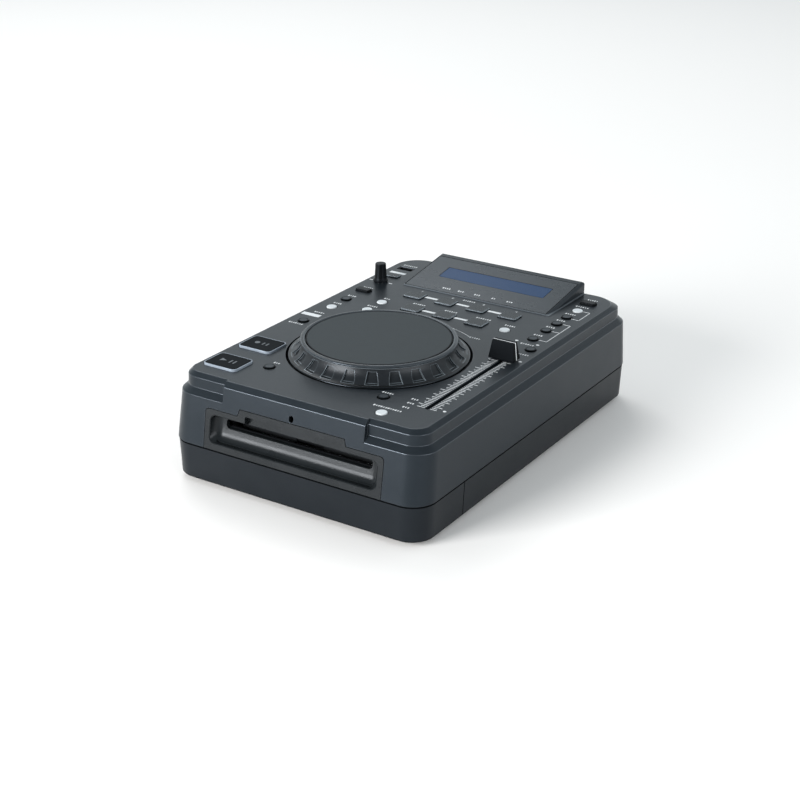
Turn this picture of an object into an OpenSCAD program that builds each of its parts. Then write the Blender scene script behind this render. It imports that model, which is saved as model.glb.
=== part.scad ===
// Tabletop DJ CD player with a slot loader, a jog wheel and a pitch fader.
// Millimetres, +Z up, the feet stand on z = 0, the front faces -Y, and x = y = 0 is the middle of the case.

/* [Case] */
// Width of the case at the seam between its two halves
case_w = 220; // [216:1:226]
// Depth of the case at the seam
case_d = 331; // [328:1:340]
// Height of the rubber feet
foot_h = 3.5; // [3:0.5:5]
// Height of the lower half of the case
lower_h = 28.3; // [27.5:0.1:29]
// Height of the leaning wall above the seam
lean_h = 37.1; // [36.5:0.1:38]
// Height of the raised block above its ledge
raised_h = 11.3; // [11:0.1:12]
// Wall thickness of the mouldings
wall = 2.5; // [2:0.1:3]
// Corner radius of the case at the seam
corner_r = 18.9; // [16:0.1:20]

/* [Jog wheel] */
// Centre of the wheel, measured from the middle of the case
jog_y = -49.2; // [-50:0.1:-47]
// Outer radius of the wheel
jog_r = 68.2; // [66:0.1:68.4]
// Radius of the rubber pad on top
pad_r = 54.8; // [53:0.1:56]
// Height of the wheel above the panel
jog_h = 12.9; // [11:0.1:14]
// Number of finger recesses round the skirt
jog_recesses = 23; // [18:1:26]

/* [Pitch fader] */
// Sideways place of the fader slot
fader_x = 83.8; // [82.5:0.1:84.5]
// Travel of the fader cap
fader_travel = 103; // [96:1:104]
// Height of the fader cap above the panel
fader_h = 14.7; // [12:0.1:17]

/* [Buttons] */
// Diameter of the round caps
cap_d = 8.2; // [7.6:0.1:8.6]
// Travel of every button
button_travel = 1; // [0.5:0.1:1]
// Width of the cue and play buttons
big_w = 30; // [28:0.1:30.2]
// Depth of the cue and play buttons
big_d = 24; // [22:0.1:24.2]
// Width of the square keys between the wheel and the display
key_w = 16.2; // [15:0.1:16.6]
// Depth of those keys
key_d = 13; // [12:0.1:13.4]

/* [Display] */
// Width of the display hood
hood_w = 136.6; // [134:0.2:138]
// Height of its rear edge above the panel
hood_h = 10.3; // [9:0.1:12]
// Width of the display window
window_w = 98.2; // [92:0.2:100]

/* [Disc loader] */
// Width of the disc slot
slot_w = 126.4; // [123:0.1:127]
// Height of the disc slot
slot_h = 7.2; // [7:0.1:7.4]
// Width of the scooped recess in front of the slot
recess_w = 144; // [141:1:145]
// Travel of the laser sled
sled_travel = 34; // [30:1:34]

/* [Hidden] */

$fn = 96;
corner_steps = 14;
eps = 0.01;

// Levels of the case
floor_z = foot_h + wall;
seam_z = foot_h + lower_h;
ledge_z = seam_z + lean_h;
raised_z = ledge_z + 4.3;
panel_z = ledge_z + 4.3 + raised_h;
under_z = panel_z - wall;
seam_gap = 0.6;

// How far each wall has moved in at each level
front_lean = 5.6;
side_lean = 1.6;
back_lean = 2.4;
ledge_in = 4.5;
bevel_in = 3.4;
lower_in = 1.6;
lean_angle = atan(front_lean / lean_h);
back_round = 1.6;
panel_round = 10;
block_w = 121.6;
block_x = -1.2;
block_bevel_h = 3.9;

// Outlines on the panel
big_x = -81.5;
cue_y = -85.5;
play_y = -127.2;
key_pitch = 29.4;
hot_cue_y = 72.5;
loop_y = 45;
knob_x = -87.3;
knob_y = 86.8;
usb_x = -86.7;
usb_y = 125.7;
stop_pos = [-86.2, 103.6];
source_pos = [-86.4, 59.9];
power_pos = [83.2, 133.5];
white_pos = [[-86.4, 13.3], [-58.6, 44.6], [-59, 23.6], [54.9, 44.6], [83, 114.6], [61.2, -140.2]];
round_pos = [
    [-86.8, 34.6], [-86.8, -25.1], [-51.8, -116.7], [82.7, 96], [82.7, 78.9],
    [82.7, 61], [82.7, 39.6], [91.6, 18.9], [47.8, -117]
];
hot_cue_x = [for (i = [0:3]) (i - 1.5) * key_pitch];
loop_x = [for (i = [-1:1]) i * key_pitch];
white_rise = 0.6;
round_rise = 1;
key_rise = 1.3;
bar_rise = 2;
big_rise = 1.6;
gap = 0.35;
cap_gap = 0.65;
key_r = 1.6;
big_r = 3.8;
bar_w = 13;
bar_d = 7;

// Boards and what stands on them
board_z = 70;
board_t = 1.6;
switch_h = 3.5;
switch_z = board_z + board_t + switch_h;
stem_z = switch_z + button_travel + 0.2;
flange_z = under_z - 1.4;
flange_t = 1.2;
main_z = 14;

// Wheel well
well_r = jog_r + 1.8;
well_wall = 1.2;
well_depth = 12.5;
well_z = panel_z - well_depth;
axle_r = 4;
rim_z = panel_z - 1.5;
jog_top_z = panel_z + jog_h;

// Fader
fader_y_max = -8.4;
fader_slot_y = [fader_y_max - fader_travel - 6.9, fader_y_max + 5.8];
fader_slot_w = 3.2;
stem_w = 1.6;
stem_l = 5;

// Hood and display
hood_x = 1.3;
hood_y = [90.6, 154.3];
hood_front_h = 0.75;
hood_sink = 1.5;
hood_base_h = 0.35;
hood_base_out = 0.6;
hood_edge_r = 2.6;
hood_slope = atan((hood_h - hood_front_h) / (hood_y[1] - hood_y[0]));
hood_top_z = panel_z + hood_h;
plate_w = 132.4;
plate_t = 1.2;
plate_gap = 0.3;
plate_y = [0.8, 58.6];
window_x = 1.9;
window_s = [24.8, 42.2];

// Loader, with the disc lying at disc_z
disc_z = seam_z + 19.3;
slot_z = [disc_z - slot_h / 2, disc_z + slot_h / 2];
recess_s = [5.9, 26.7];
recess_r = 4.5;
scoop_r = 8;
scoop_y = -case_d / 2 + 10.2;
scoop_z = seam_z + 5.8;
lip_r = 1.2;
scoop_low_y = 0.3;
scoop_high_y = 1.8;
notch_w = 82.8;
notch_s = 32.1;
notch_depth = 4.7;
bezel_w = 153.2;
bezel_t = wall + 0.13;
bezel_side_s = 30.85;
bezel_mid_s = 36.1;
bezel_step = 45.2;
bezel_step_x = -1.4;
slot_r = 2.6;
felt_y = scoop_y + 4;
felt_in = [0.3, 1.5];
felt_t = 1.6;
deck_z = seam_z + 1.2;
deck_t = 1.5;
deck_w = 140;
deck_y = [-141, 30];
spindle_y = -72;
roller_y = -135;
roller_r = 4.5;
roller_z = disc_z - 0.9 - roller_r;
journal_r = 1.25;
loading_motor = [77, -112, 46];
sled_y = spindle_y + 24;
bearing_y = [sled_y - 13, sled_y + sled_travel + 12];
rail_x = 22;
rail_z = deck_z + 7;
rail_r = 1.5;
screw_x = 33;
screw_r = 2;

// Rear bay
bay_w = 176;
bay_z = [seam_z + 6, seam_z + 34];
bay_y = case_d / 2 - 14;
plate_back_y = bay_y - 1.6;
jack_z = (bay_z[0] + bay_z[1]) / 2;
jack_x = [-72, -54, -36];
control_x = -12;
inlet_x = 58;

// Places of the screws and feet
post_pos = [[-95, -147], [95, -147], [-97, -2], [97, -2], [-95, 146], [95, 146]];
foot_pos = [[-84, -134], [84, -134], [-84, 138], [84, 138]];
deck_post = [[-64, -128], [64, -128], [-64, -4], [64, -4]];
board_post = [[-62, 140], [62, 140], [-72, 60], [72, 60], [-72, 6], [72, 6], [-30, -134], [30, -134]];
main_post = [[-96, 36], [26, 36], [-96, 134], [26, 134]];
supply_post = [[42, 46], [98, 46], [42, 134], [98, 134]];
split_y = -107.5;

// ---------------------------------------------------------------- shared shapes

module rounded_rect(w, d, r) {
    square([w - 2 * r, d], center = true);
    square([w, d - 2 * r], center = true);
    for (x = [-1, 1], y = [-1, 1])
        translate([x * (w / 2 - r), y * (d / 2 - r)])
            circle(r);
}

module block(x, y, z) {
    translate([x[0], y[0], z[0]])
        cube([x[1] - x[0], y[1] - y[0], z[1] - z[0]]);
}

module rod(r, from, to) {
    translate([0, 0, from])
        cylinder(r = r, h = to - from);
}

// Outline of the case at height z, moved in from its seam outline by side, front and back,
// with front corners of radius r and back corners rounder by more
function case_ring(z, side, front, back, r, more = back_round) = [
    for (q = [0:3], i = [0:corner_steps])
        let (
            a = 90 * q + 90 * i / corner_steps,
            sx = (q == 0 || q == 3) ? 1 : -1,
            sy = (q < 2) ? 1 : -1,
            edge_y = case_d / 2 - (sy > 0 ? back : front),
            cr = sy > 0 ? r + more : r
        )
        [sx * (case_w / 2 - side - cr) + cr * cos(a), sy * (edge_y - cr) + cr * sin(a), z]
];

// Closed skin through a stack of outlines that all have the same number of points
module loft(rings) {
    n = len(rings[0]);
    m = len(rings);
    polyhedron(
        points = [for (ring = rings) each ring],
        faces = concat(
            [[for (i = [0:n - 1]) i]],
            [
                for (k = [0:m - 2], i = [0:n - 1])
                    let (a = k * n + i, b = k * n + (i + 1) % n)
                    each [[a, a + n, b + n], [a, b + n, b]]
            ],
            [[for (i = [n - 1:-1:0]) (m - 1) * n + i]]
        )
    );
}

// Moves its children to the leaning front wall: x across, y up the wall, z outwards
module on_front() {
    translate([0, -case_d / 2, seam_z])
        rotate([90 - lean_angle, 0, 0])
            children();
}

// Moves its children to the sloping top of the hood: x across, y up the slope, z outwards
module on_hood() {
    translate([0, hood_y[0], panel_z + hood_front_h])
        rotate([hood_slope, 0, 0])
            children();
}

// Extrudes a side view, drawn as [y, z] points, across the width w
module across(w, points) {
    rotate([90, 0, 90])
        linear_extrude(w, center = true)
            polygon(points);
}

// ---------------------------------------------------------------- case

module lower_outer() {
    loft([
        case_ring(foot_h, lower_in + 1.4, lower_in + 1.2, 2.2, corner_r - 2.2),
        case_ring(foot_h + 1.4, lower_in, lower_in - 0.2, 0.9, corner_r - 1),
        case_ring(seam_z - seam_gap, 0.5, 0.5, 0.5, corner_r - 0.4)
    ]);
    loft([
        case_ring(seam_z - seam_gap - 1, 3.5, 3.5, 3.5, corner_r - 3.3),
        case_ring(seam_z + 2.6, 3.5, 3.5, 3.5, corner_r - 3.3)
    ]);
}

module lower_inner() {
    loft([
        case_ring(floor_z, lower_in + wall, lower_in + wall, 1 + wall, corner_r - 4),
        case_ring(seam_z - 9, 3.4, 3.4, 3.4, corner_r - 3.2),
        case_ring(seam_z - 6, 4.7, 4.7, 4.7, corner_r - 4.5),
        case_ring(seam_z + 4, 4.7, 4.7, 4.7, corner_r - 4.5)
    ]);
}

module screw_post(p) {
    translate([p[0], p[1], 0])
        rod(4.6, foot_h + eps, seam_z - 1.2);
}

module deck_stand(p) {
    translate([p[0], p[1], 0])
        rod(4, floor_z - eps, deck_z);
}

module screw_hole(p) {
    translate([p[0], p[1], 0]) {
        rod(3.1, foot_h - 1, 18);
        rod(1.7, 17, seam_z);
    }
}

module front_lower_cover() {
    color("#2f3339")
        difference() {
            intersection() {
                union() {
                    difference() {
                        lower_outer();
                        lower_inner();
                    }
                    for (p = post_pos)
                        screw_post(p);
                    for (p = deck_post)
                        deck_stand(p);
                }
                block([-case_w, case_w], [-case_d, split_y - 0.15], [0, panel_z]);
            }
            for (p = post_pos)
                screw_hole(p);
            for (p = foot_pos)
                translate([p[0], p[1], 0])
                    rod(9.3, foot_h - 1, foot_h + 0.8);
        }
}

module bottom_tray() {
    color("#2f3339")
        difference() {
            intersection() {
                union() {
                    difference() {
                        lower_outer();
                        lower_inner();
                    }
                    for (p = post_pos)
                        screw_post(p);
                    for (p = deck_post)
                        deck_stand(p);
                    for (p = concat(main_post, supply_post))
                        translate([p[0], p[1], 0])
                            rod(3.2, floor_z - eps, main_z);
                }
                block([-case_w, case_w], [split_y + 0.15, case_d], [0, panel_z]);
            }
            for (p = post_pos)
                screw_hole(p);
            for (p = foot_pos)
                translate([p[0], p[1], 0])
                    rod(9.3, foot_h - 1, foot_h + 0.8);
            for (i = [0:7])
                translate([0, -40 + 9 * i, foot_h - 1])
                    linear_extrude(wall + 2)
                        rounded_rect(70, 3, 1.4);
        }
}

module shell_outer() {
    loft([
        case_ring(seam_z + seam_gap, 0, 0, 0, corner_r),
        case_ring(ledge_z, side_lean, front_lean, back_lean, corner_r - 1),
        case_ring(
            raised_z, side_lean + ledge_in, front_lean + ledge_in,
            back_lean + ledge_in, corner_r - 5
        ),
        case_ring(
            panel_z - bevel_in, side_lean + ledge_in + 0.3, front_lean + ledge_in + 0.3,
            back_lean + ledge_in + 0.3, corner_r - 5.3
        ),
        case_ring(
            panel_z, side_lean + ledge_in + bevel_in, front_lean + ledge_in + bevel_in,
            back_lean + ledge_in + bevel_in, corner_r - 8, panel_round
        )
    ]);
    front_block(block_w, 0);
}

// The middle of the front, flush with the leaning wall up to its own bevel
module front_block(w, inset) {
    top_y = -case_d / 2 + front_lean + 5.3;
    bevel_z = panel_z - block_bevel_h;
    bevel_y = -case_d / 2 + front_lean * (bevel_z - seam_z) / lean_h;
    low_y = -case_d / 2 + front_lean * (ledge_z - 8 - seam_z) / lean_h;
    translate([block_x, 0, 0])
        across(w, [
            [low_y + inset, ledge_z - 8],
            [bevel_y + inset, bevel_z],
            [top_y + inset, panel_z - inset],
            [top_y + 12, panel_z - inset],
            [top_y + 12, ledge_z - 8]
        ]);
}

module shell_inner() {
    loft([
        case_ring(seam_z - 1, wall, wall, wall, corner_r - wall),
        case_ring(ledge_z - 1, side_lean + wall, front_lean + wall, back_lean + wall, corner_r - 1 - wall),
        case_ring(
            raised_z - 1, side_lean + ledge_in + wall, front_lean + ledge_in + wall,
            back_lean + ledge_in + wall, corner_r - 5 - wall
        ),
        case_ring(
            under_z, side_lean + ledge_in + wall + 0.8, front_lean + ledge_in + wall + 0.8,
            back_lean + ledge_in + wall + 0.8, corner_r - 5.8 - wall, panel_round - 3
        )
    ]);
}

module button_holes() {
    translate([0, 0, under_z - 1]) {
        for (p = white_pos)
            translate(p)
                cylinder(r = cap_d / 2 + cap_gap, h = wall + 2);
        for (p = round_pos)
            translate(p)
                cylinder(r = cap_d / 2 + cap_gap, h = wall + 2);
        linear_extrude(wall + 2) {
            for (y = [cue_y, play_y])
                translate([big_x, y])
                    rounded_rect(big_w + 2 * gap, big_d + 2 * gap, big_r);
            for (x = hot_cue_x)
                translate([x, hot_cue_y])
                    rounded_rect(key_w + 2 * gap, key_d + 2 * gap, key_r);
            for (x = loop_x)
                translate([x, loop_y])
                    rounded_rect(key_w + 2 * gap, key_d + 2 * gap, key_r);
            for (p = [stop_pos, source_pos, power_pos])
                translate(p)
                    rounded_rect(bar_w + 2 * gap, bar_d + 2 * gap, key_r);
            translate([usb_x, usb_y])
                rounded_rect(14.6, 7.4, 0.8);
            translate([fader_x, (fader_slot_y[0] + fader_slot_y[1]) / 2])
                rounded_rect(fader_slot_w, fader_slot_y[1] - fader_slot_y[0], 1.2);
        }
        translate([knob_x, knob_y, 0])
            cylinder(r = 3.6, h = wall + 2);
    }
}

module upper_shell() {
    color("#4b4f55")
        difference() {
            union() {
                difference() {
                    shell_outer();
                    shell_inner();
                    front_block(block_w - 2 * wall, wall);
                }
                for (p = post_pos)
                    translate([p[0], p[1], 0])
                        rod(4, seam_z - 1.2, under_z + eps);
                for (p = board_post)
                    translate([p[0], p[1], 0])
                        rod(2.6, board_z + board_t, under_z + eps);
                translate([0, jog_y, 0])
                    rod(well_r + well_wall, well_z - wall, panel_z - 0.2);
                block(
                    [-bay_w / 2 - 2, bay_w / 2 + 2], [bay_y - 1.6, case_d / 2 - 3],
                    [bay_z[0] - 2, bay_z[1] + 2]
                );
            }
            translate([0, jog_y, 0]) {
                difference() {
                    rod(well_r, well_z, panel_z + 1);
                    rod(7, well_z - 1, well_z + 0.5);
                }
                rod(axle_r + 0.02, well_z - wall - 1, well_z + 1);
                for (a = [45:90:315])
                    rotate(a)
                        translate([40, 0, 0])
                            rod(9, well_z - wall - 1, well_z + 1);
            }
            block([-bay_w / 2, bay_w / 2], [bay_y - 3, case_d / 2 + 1], bay_z);
            button_holes();
            for (p = post_pos)
                translate([p[0], p[1], 0])
                    rod(1.5, seam_z - 2, seam_z + 18);
            on_front() {
                translate([0, 0, -8])
                    linear_extrude(12)
                        bezel_outline(0.4, -3);
                hull()
                    for (y = [39, 40.2])
                        translate([-1.7, y, -6])
                            cylinder(r = 2, h = 8);
            }
            hood_pocket();
        }
}

module hood_pocket() {
    translate([hood_x - hood_w / 2 - 0.2, hood_y[0] - 0.2, panel_z - hood_sink])
        cube([hood_w + 0.4, hood_y[1] - hood_y[0] + 0.4, hood_sink + 1]);
}

// ---------------------------------------------------------------- loader front

// Edge of the loader bezel on the front wall: stepped up in the middle, grown outwards by g
module bezel_outline(g, low) {
    step = bezel_step;
    r = 3;
    w = bezel_w / 2 + g;
    side = bezel_side_s + g;
    mid = bezel_mid_s + g;
    polygon([
        [-w, low], [w, low], [w, side - r],
        for (a = [10:20:80]) [w - r + r * cos(a), side - r + r * sin(a)],
        [w - r, side],
        for (p = [[1.7, side], [1.1, side + 0.6], [0, mid - 0.6], [-0.6, mid]])
            [bezel_step_x + step + g + p[0], p[1]],
        for (p = [[-0.6, mid], [0, mid - 0.6], [1.1, side + 0.6], [1.7, side]])
            [bezel_step_x - step - g - p[0], p[1]],
        [-w + r, side],
        for (a = [100:20:170]) [-w + r + r * cos(a), side - r + r * sin(a)],
        [-w, side - r]
    ]);
}

// A thin slice of the recess mouth, grown by g, from low to high in front of the wall
module mouth(g, low, high) {
    on_front()
        translate([0, (recess_s[0] + recess_s[1]) / 2, low])
            linear_extrude(high - low)
                rounded_rect(recess_w + 2 * g, recess_s[1] - recess_s[0] + 2 * g, recess_r + g);
}

// The scooped recess, with its floor and ends swept up to the slot by one radius
module scoop() {
    hull() {
        mouth(0, -0.6, 0.1, $fn = 32);
        for (x = [-1, 1])
            translate([x * (recess_w / 2 - scoop_r), scoop_y - scoop_r, 0]) {
                translate([0, -scoop_low_y, scoop_z + scoop_r])
                    sphere(scoop_r, $fn = 40);
                translate([0, scoop_high_y, 0])
                    rod(scoop_r, slot_z[1] - 0.1, slot_z[1], $fn = 40);
            }
    }
    hull() {
        mouth(0, -0.5, -0.4, $fn = 32);
        mouth(0.7, 0.05, 0.2, $fn = 32);
    }
}

// Disc slot with rounded ends through the back of the scoop, its lower lip rounded over
module slot_cut() {
    translate([0, scoop_y - 1, disc_z])
        rotate([-90, 0, 0])
            linear_extrude(13)
                rounded_rect(slot_w, slot_h, slot_r);
    across(slot_w - 2 * slot_r, [
        [scoop_y - 1, slot_z[0] - lip_r],
        for (a = [0:15:90]) [scoop_y + lip_r * (1 - cos(a)), slot_z[0] - lip_r * (1 - sin(a))],
        [scoop_y + 12, slot_z[0]], [scoop_y + 12, slot_z[1]], [scoop_y - 1, slot_z[1]]
    ]);
}

module loader_bezel() {
    half = recess_w / 2 + 2;
    notch_half = notch_w / 2 + 2;
    color("#4b4f55")
        difference() {
            union() {
                on_front() {
                    translate([0, 0, -bezel_t])
                        linear_extrude(bezel_t)
                            bezel_outline(0, seam_gap);
                    translate([-notch_half, recess_s[1] - 4, -notch_depth - 2])
                        cube([2 * notch_half, notch_s + 5.6 - recess_s[1], notch_depth + 1]);
                    for (x = [-bezel_w / 2 - 3.4, bezel_w / 2 - 9])
                        translate([x, 4, -bezel_t - 1.5])
                            cube([12.4, bezel_side_s - 6, 1.5]);
                }
                block([-half, half], [-case_d / 2 + 5, felt_y], [scoop_z - 2, slot_z[1] + 2]);
            }
            scoop();
            slot_cut();
            on_front()
                translate([-notch_w / 2, recess_s[1] - 4, -notch_depth])
                    cube([notch_w, notch_s - recess_s[1] + 4, notch_depth + 1]);
        }
}

// Dust strips that stand into the slot from above and below, behind the bezel
module slot_felt() {
    color("#16171a")
        for (z = [[slot_z[0] - 1.9, slot_z[0] + felt_in[0]], [slot_z[1] - felt_in[1], slot_z[1] + 1.9]])
            block([-slot_w / 2 - 2, slot_w / 2 + 2], [felt_y, felt_y + felt_t], z);
}

// ---------------------------------------------------------------- display

// Section of the hood above its base, seen up the slope, with the right edge rounded over
module hood_section() {
    left = hood_x - hood_w / 2;
    right = hood_x + hood_w / 2 - hood_base_out;
    r = hood_edge_r;
    polygon([
        [left, -30], [right, -30],
        for (a = [0:15:90]) [right - r + r * cos(a), -r + r * sin(a)],
        [left + 0.5, 0], [left + 0.15, -0.15], [left, -0.5]
    ]);
}

module display_hood() {
    base_z = panel_z + hood_base_h;
    color("#54585e")
        difference() {
            union() {
                intersection() {
                    translate([hood_x, 0, 0])
                        across(hood_w, [
                            [hood_y[0], panel_z - hood_sink],
                            [hood_y[0], panel_z + hood_front_h + 1],
                            [hood_y[1] - 2.2, hood_top_z + 0.6],
                            [hood_y[1] - 0.4, hood_top_z - 0.6],
                            [hood_y[1], hood_top_z - 1.3],
                            [hood_y[1], panel_z - hood_sink]
                        ]);
                    on_hood()
                        rotate([90, 0, 0])
                            translate([0, 0, -90])
                                linear_extrude(120)
                                    hood_section();
                }
                translate([hood_x - hood_w / 2, hood_y[0], panel_z - hood_sink])
                    cube([hood_w, hood_y[1] - hood_y[0], base_z - panel_z + hood_sink]);
            }
            on_hood() {
                translate([0, (plate_y[0] + plate_y[1]) / 2, -plate_t])
                    linear_extrude(plate_t + 1)
                        rounded_rect(plate_w + 2 * plate_gap, plate_y[1] - plate_y[0] + 2 * plate_gap, 0.9);
                translate([window_x - 54, window_s[0] - 5, -5.4])
                    cube([108, window_s[1] - window_s[0] + 10, 5]);
            }
            translate([hood_x, 0, 0])
                across(hood_w - 8, [
                    [hood_y[1] - 3, hood_top_z - 4],
                    [hood_y[1] - 3, panel_z - hood_sink - 1],
                    [hood_y[0] + 36, panel_z - hood_sink - 1],
                    [hood_y[0] + 36, panel_z + 1]
                ]);
        }
}

module display_plate() {
    color("#5a5e64")
        on_hood()
            difference() {
                translate([0, (plate_y[0] + plate_y[1]) / 2, -plate_t])
                    linear_extrude(plate_t - 0.05)
                        rounded_rect(plate_w, plate_y[1] - plate_y[0], 0.8);
                translate([window_x, (window_s[0] + window_s[1]) / 2, -plate_t - 1])
                    linear_extrude(plate_t + 2)
                        rounded_rect(window_w, window_s[1] - window_s[0], 0.6);
            }
}

module lcd_module() {
    color("#4a5f8c")
        on_hood()
            translate([window_x, (window_s[0] + window_s[1]) / 2, -4.2]) {
                linear_extrude(4.2 - plate_t)
                    square([104, window_s[1] - window_s[0] + 6.8], center = true);
                linear_extrude(4.1)
                    rounded_rect(window_w - 0.2, window_s[1] - window_s[0] - 0.2, 0.5);
            }
}

// ---------------------------------------------------------------- rear

// Sheet behind the rear bay, seated on the bay's inner rim
module rear_panel() {
    color("#3a3d40")
        translate([0, plate_back_y, 0])
            rotate([90, 0, 0])
                linear_extrude(1.2)
                    difference() {
                        translate([0, jack_z])
                            square([bay_w + 3.4, bay_z[1] - bay_z[0] + 3.4], center = true);
                        for (x = jack_x)
                            translate([x, jack_z])
                                circle(4.6);
                        translate([control_x, jack_z])
                            circle(4.2);
                        translate([inlet_x, jack_z])
                            square([24.4, 16.4], center = true);
                    }
}

// Tube along Y at the given x, from one y to another
module jack_tube(x, r, bore, from, to) {
    translate([x, 0, jack_z])
        rotate([-90, 0, 0])
            difference() {
                rod(r, from, to);
                rod(bore, from - 1, to + 1);
            }
}

module rear_jacks() {
    seat = plate_back_y - 1.2;
    color("#b9bcc0") {
        for (x = jack_x) {
            jack_tube(x, 4.4, 1.9, seat, seat + 4.6);
            jack_tube(x, 4.15, 3.5, seat + 4.5, seat + 11);
            jack_tube(x, 1.9, 1.6, seat, seat + 9.5);
        }
        jack_tube(control_x, 6, 1.8, seat - 12, seat);
        jack_tube(control_x, 4, 1.8, seat - 0.1, seat + 3.6);
        block([jack_x[0] - 9, jack_x[2] + 9], [seat - 12, seat], [jack_z - 10, jack_z + 8]);
    }
}

module mains_inlet() {
    face = plate_back_y + 2.6;
    color("#1a1b1d")
        translate([inlet_x, 0, jack_z]) {
            difference() {
                union() {
                    block([-12, 12], [face - 19, face], [-8, 8]);
                    block([-14, 14], [plate_back_y, plate_back_y + 1.4], [-10, 10]);
                }
                translate([0, face + 1, 0])
                    rotate([90, 0, 0])
                        linear_extrude(15) {
                            for (x = [-4.3, 4.3])
                                translate([x, 0])
                                    circle(4.2);
                            square([8.6, 7.6], center = true);
                        }
            }
            for (x = [-4.3, 4.3])
                translate([x, 0, 0])
                    rotate([-90, 0, 0])
                        rod(1.2, face - 14.1, face - 2);
        }
}

module usb_socket() {
    color("#a9adb2")
        translate([usb_x, usb_y, 0]) {
            difference() {
                block([-6.9, 6.9], [-3.3, 3.3], [board_z + board_t, panel_z - 0.5]);
                block([-6.25, 6.25], [-2.56, 2.56], [board_z + board_t + 1.6, panel_z]);
            }
            block([-5.6, 5.6], [0, 1.8], [board_z + board_t + 1.55, panel_z - 2]);
        }
}

// ---------------------------------------------------------------- boards and supply

module main_board() {
    color("#1f5137") {
        block([-100, 30], [32, 139], [main_z, main_z + board_t]);
        for (i = [0:3])
            block([-80 + 22 * i, -68 + 22 * i], [60, 72], [main_z + board_t, main_z + board_t + 1.6]);
        block([-40, -16], [92, 116], [main_z + board_t, main_z + board_t + 2.4]);
        for (i = [0:5])
            translate([-88 + 14 * i, 130, 0])
                rod(3.1, main_z + board_t, main_z + board_t + 11);
    }
}

module control_board() {
    color("#1f5137")
        difference() {
            union() {
                block([-97, 97], [-147, 148], [board_z, board_z + board_t]);
                for (p = concat(
                    white_pos, round_pos, [stop_pos, source_pos, power_pos],
                    [for (x = hot_cue_x) [x, hot_cue_y]], [for (x = loop_x) [x, loop_y]],
                    [[big_x, cue_y], [big_x, play_y]]
                ))
                    translate([p[0], p[1], board_z + board_t + switch_h / 2])
                        cube([6, 6, switch_h], center = true);
                block(
                    [knob_x - 6, knob_x + 6], [knob_y - 6.5, knob_y + 6.5],
                    [board_z + board_t, board_z + board_t + 6]
                );
            }
            translate([0, jog_y, 0])
                rod(well_r + well_wall + 0.8, board_z - 1, panel_z);
            translate([knob_x, knob_y, 0])
                rod(3.05, board_z - 1, panel_z);
            block(
                [fader_x - 7.5, fader_x + 7.5], [fader_slot_y[0] - 9, fader_slot_y[1] + 9],
                [board_z - 1, panel_z]
            );
            for (p = post_pos)
                translate([p[0], p[1], 0])
                    rod(5.2, board_z - 1, panel_z);
        }
}

module power_supply() {
    color("#8a7a3c") {
        block([36, 103], [42, 139], [main_z, main_z + board_t]);
        difference() {
            block([44, 92], [64, 106], [main_z + board_t, main_z + board_t + 38]);
            block([50, 60], [63, 107], [main_z + board_t + 8, main_z + board_t + 30]);
            block([76, 86], [63, 107], [main_z + board_t + 8, main_z + board_t + 30]);
        }
        for (x = [50, 68, 86])
            translate([x, 124, 0])
                rod(6.3, main_z + board_t, main_z + board_t + 22);
    }
}

// ---------------------------------------------------------------- loader mechanism

// Bearing block for a rail or the lead screw, standing on the deck
module deck_bearing(x, y, half) {
    block([x - half, x + half], [y, y + 3], [deck_z + deck_t - eps, rail_z + 4.5]);
}

module loader_chassis() {
    half = deck_w / 2;
    motor = loading_motor;
    color("#8d9194")
        difference() {
            union() {
                block([-half, half], deck_y, [deck_z, deck_z + deck_t]);
                for (x = [-half, half - deck_t])
                    block([x, x + deck_t], [deck_y[0], 6], [deck_z, disc_z + 12]);
                block([-half, half], [deck_y[0] + 30, 6], [disc_z + 10.5, disc_z + 12]);
                for (y = bearing_y) {
                    deck_bearing(-rail_x, y, 4);
                    deck_bearing(rail_x, y, 4);
                    deck_bearing(screw_x, y, 4);
                }
                block([half - eps, half + 15], [motor[1] - 1.5, motor[1]], [motor[2] - 8, motor[2] + 8]);
            }
            translate([0, spindle_y, 0])
                rod(6.3, deck_z - 1, deck_z + 4);
            translate([0, -58, 0])
                rod(46, disc_z + 10, disc_z + 13);
            for (x = [-rail_x, rail_x])
                translate([x, 0, rail_z])
                    rotate([-90, 0, 0])
                        rod(rail_r + 0.01, bearing_y[0] - 1, bearing_y[1] + 5);
            translate([screw_x, 0, rail_z])
                rotate([-90, 0, 0])
                    rod(journal_r + 0.05, bearing_y[0] - 1, bearing_y[1] + 5);
            translate([0, roller_y, roller_z])
                rotate([0, 90, 0])
                    rod(1.55, -half - 1, half + 1);
            translate([motor[0], 0, motor[2]])
                rotate([-90, 0, 0])
                    rod(2.5, motor[1] - 3, motor[1] + 1);
            for (p = deck_post)
                translate([p[0], p[1], 0])
                    rod(1.6, deck_z - 1, deck_z + 4);
        }
}

module drive_motors() {
    color("#9ba0a5") {
        translate([0, spindle_y, 0])
            difference() {
                union() {
                    rod(12, deck_z - 9.1, deck_z);
                    rod(6.2, deck_z - 0.1, deck_z + 3.4);
                }
                rod(1.06, deck_z - 8, deck_z + 5);
            }
        translate([screw_x, 0, rail_z])
            rotate([-90, 0, 0])
                difference() {
                    rod(rail_z - deck_z - deck_t, bearing_y[1] + 3, bearing_y[1] + 21);
                    rod(journal_r + 0.05, bearing_y[1], bearing_y[1] + 15);
                }
        translate([loading_motor[0], 0, loading_motor[2]])
            rotate([-90, 0, 0]) {
                rod(7, loading_motor[1], loading_motor[1] + 25);
                rod(2.4, loading_motor[1] - 1.5, loading_motor[1] + 1);
                rod(1, loading_motor[1] - 6, loading_motor[1]);
            }
    }
}

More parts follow.
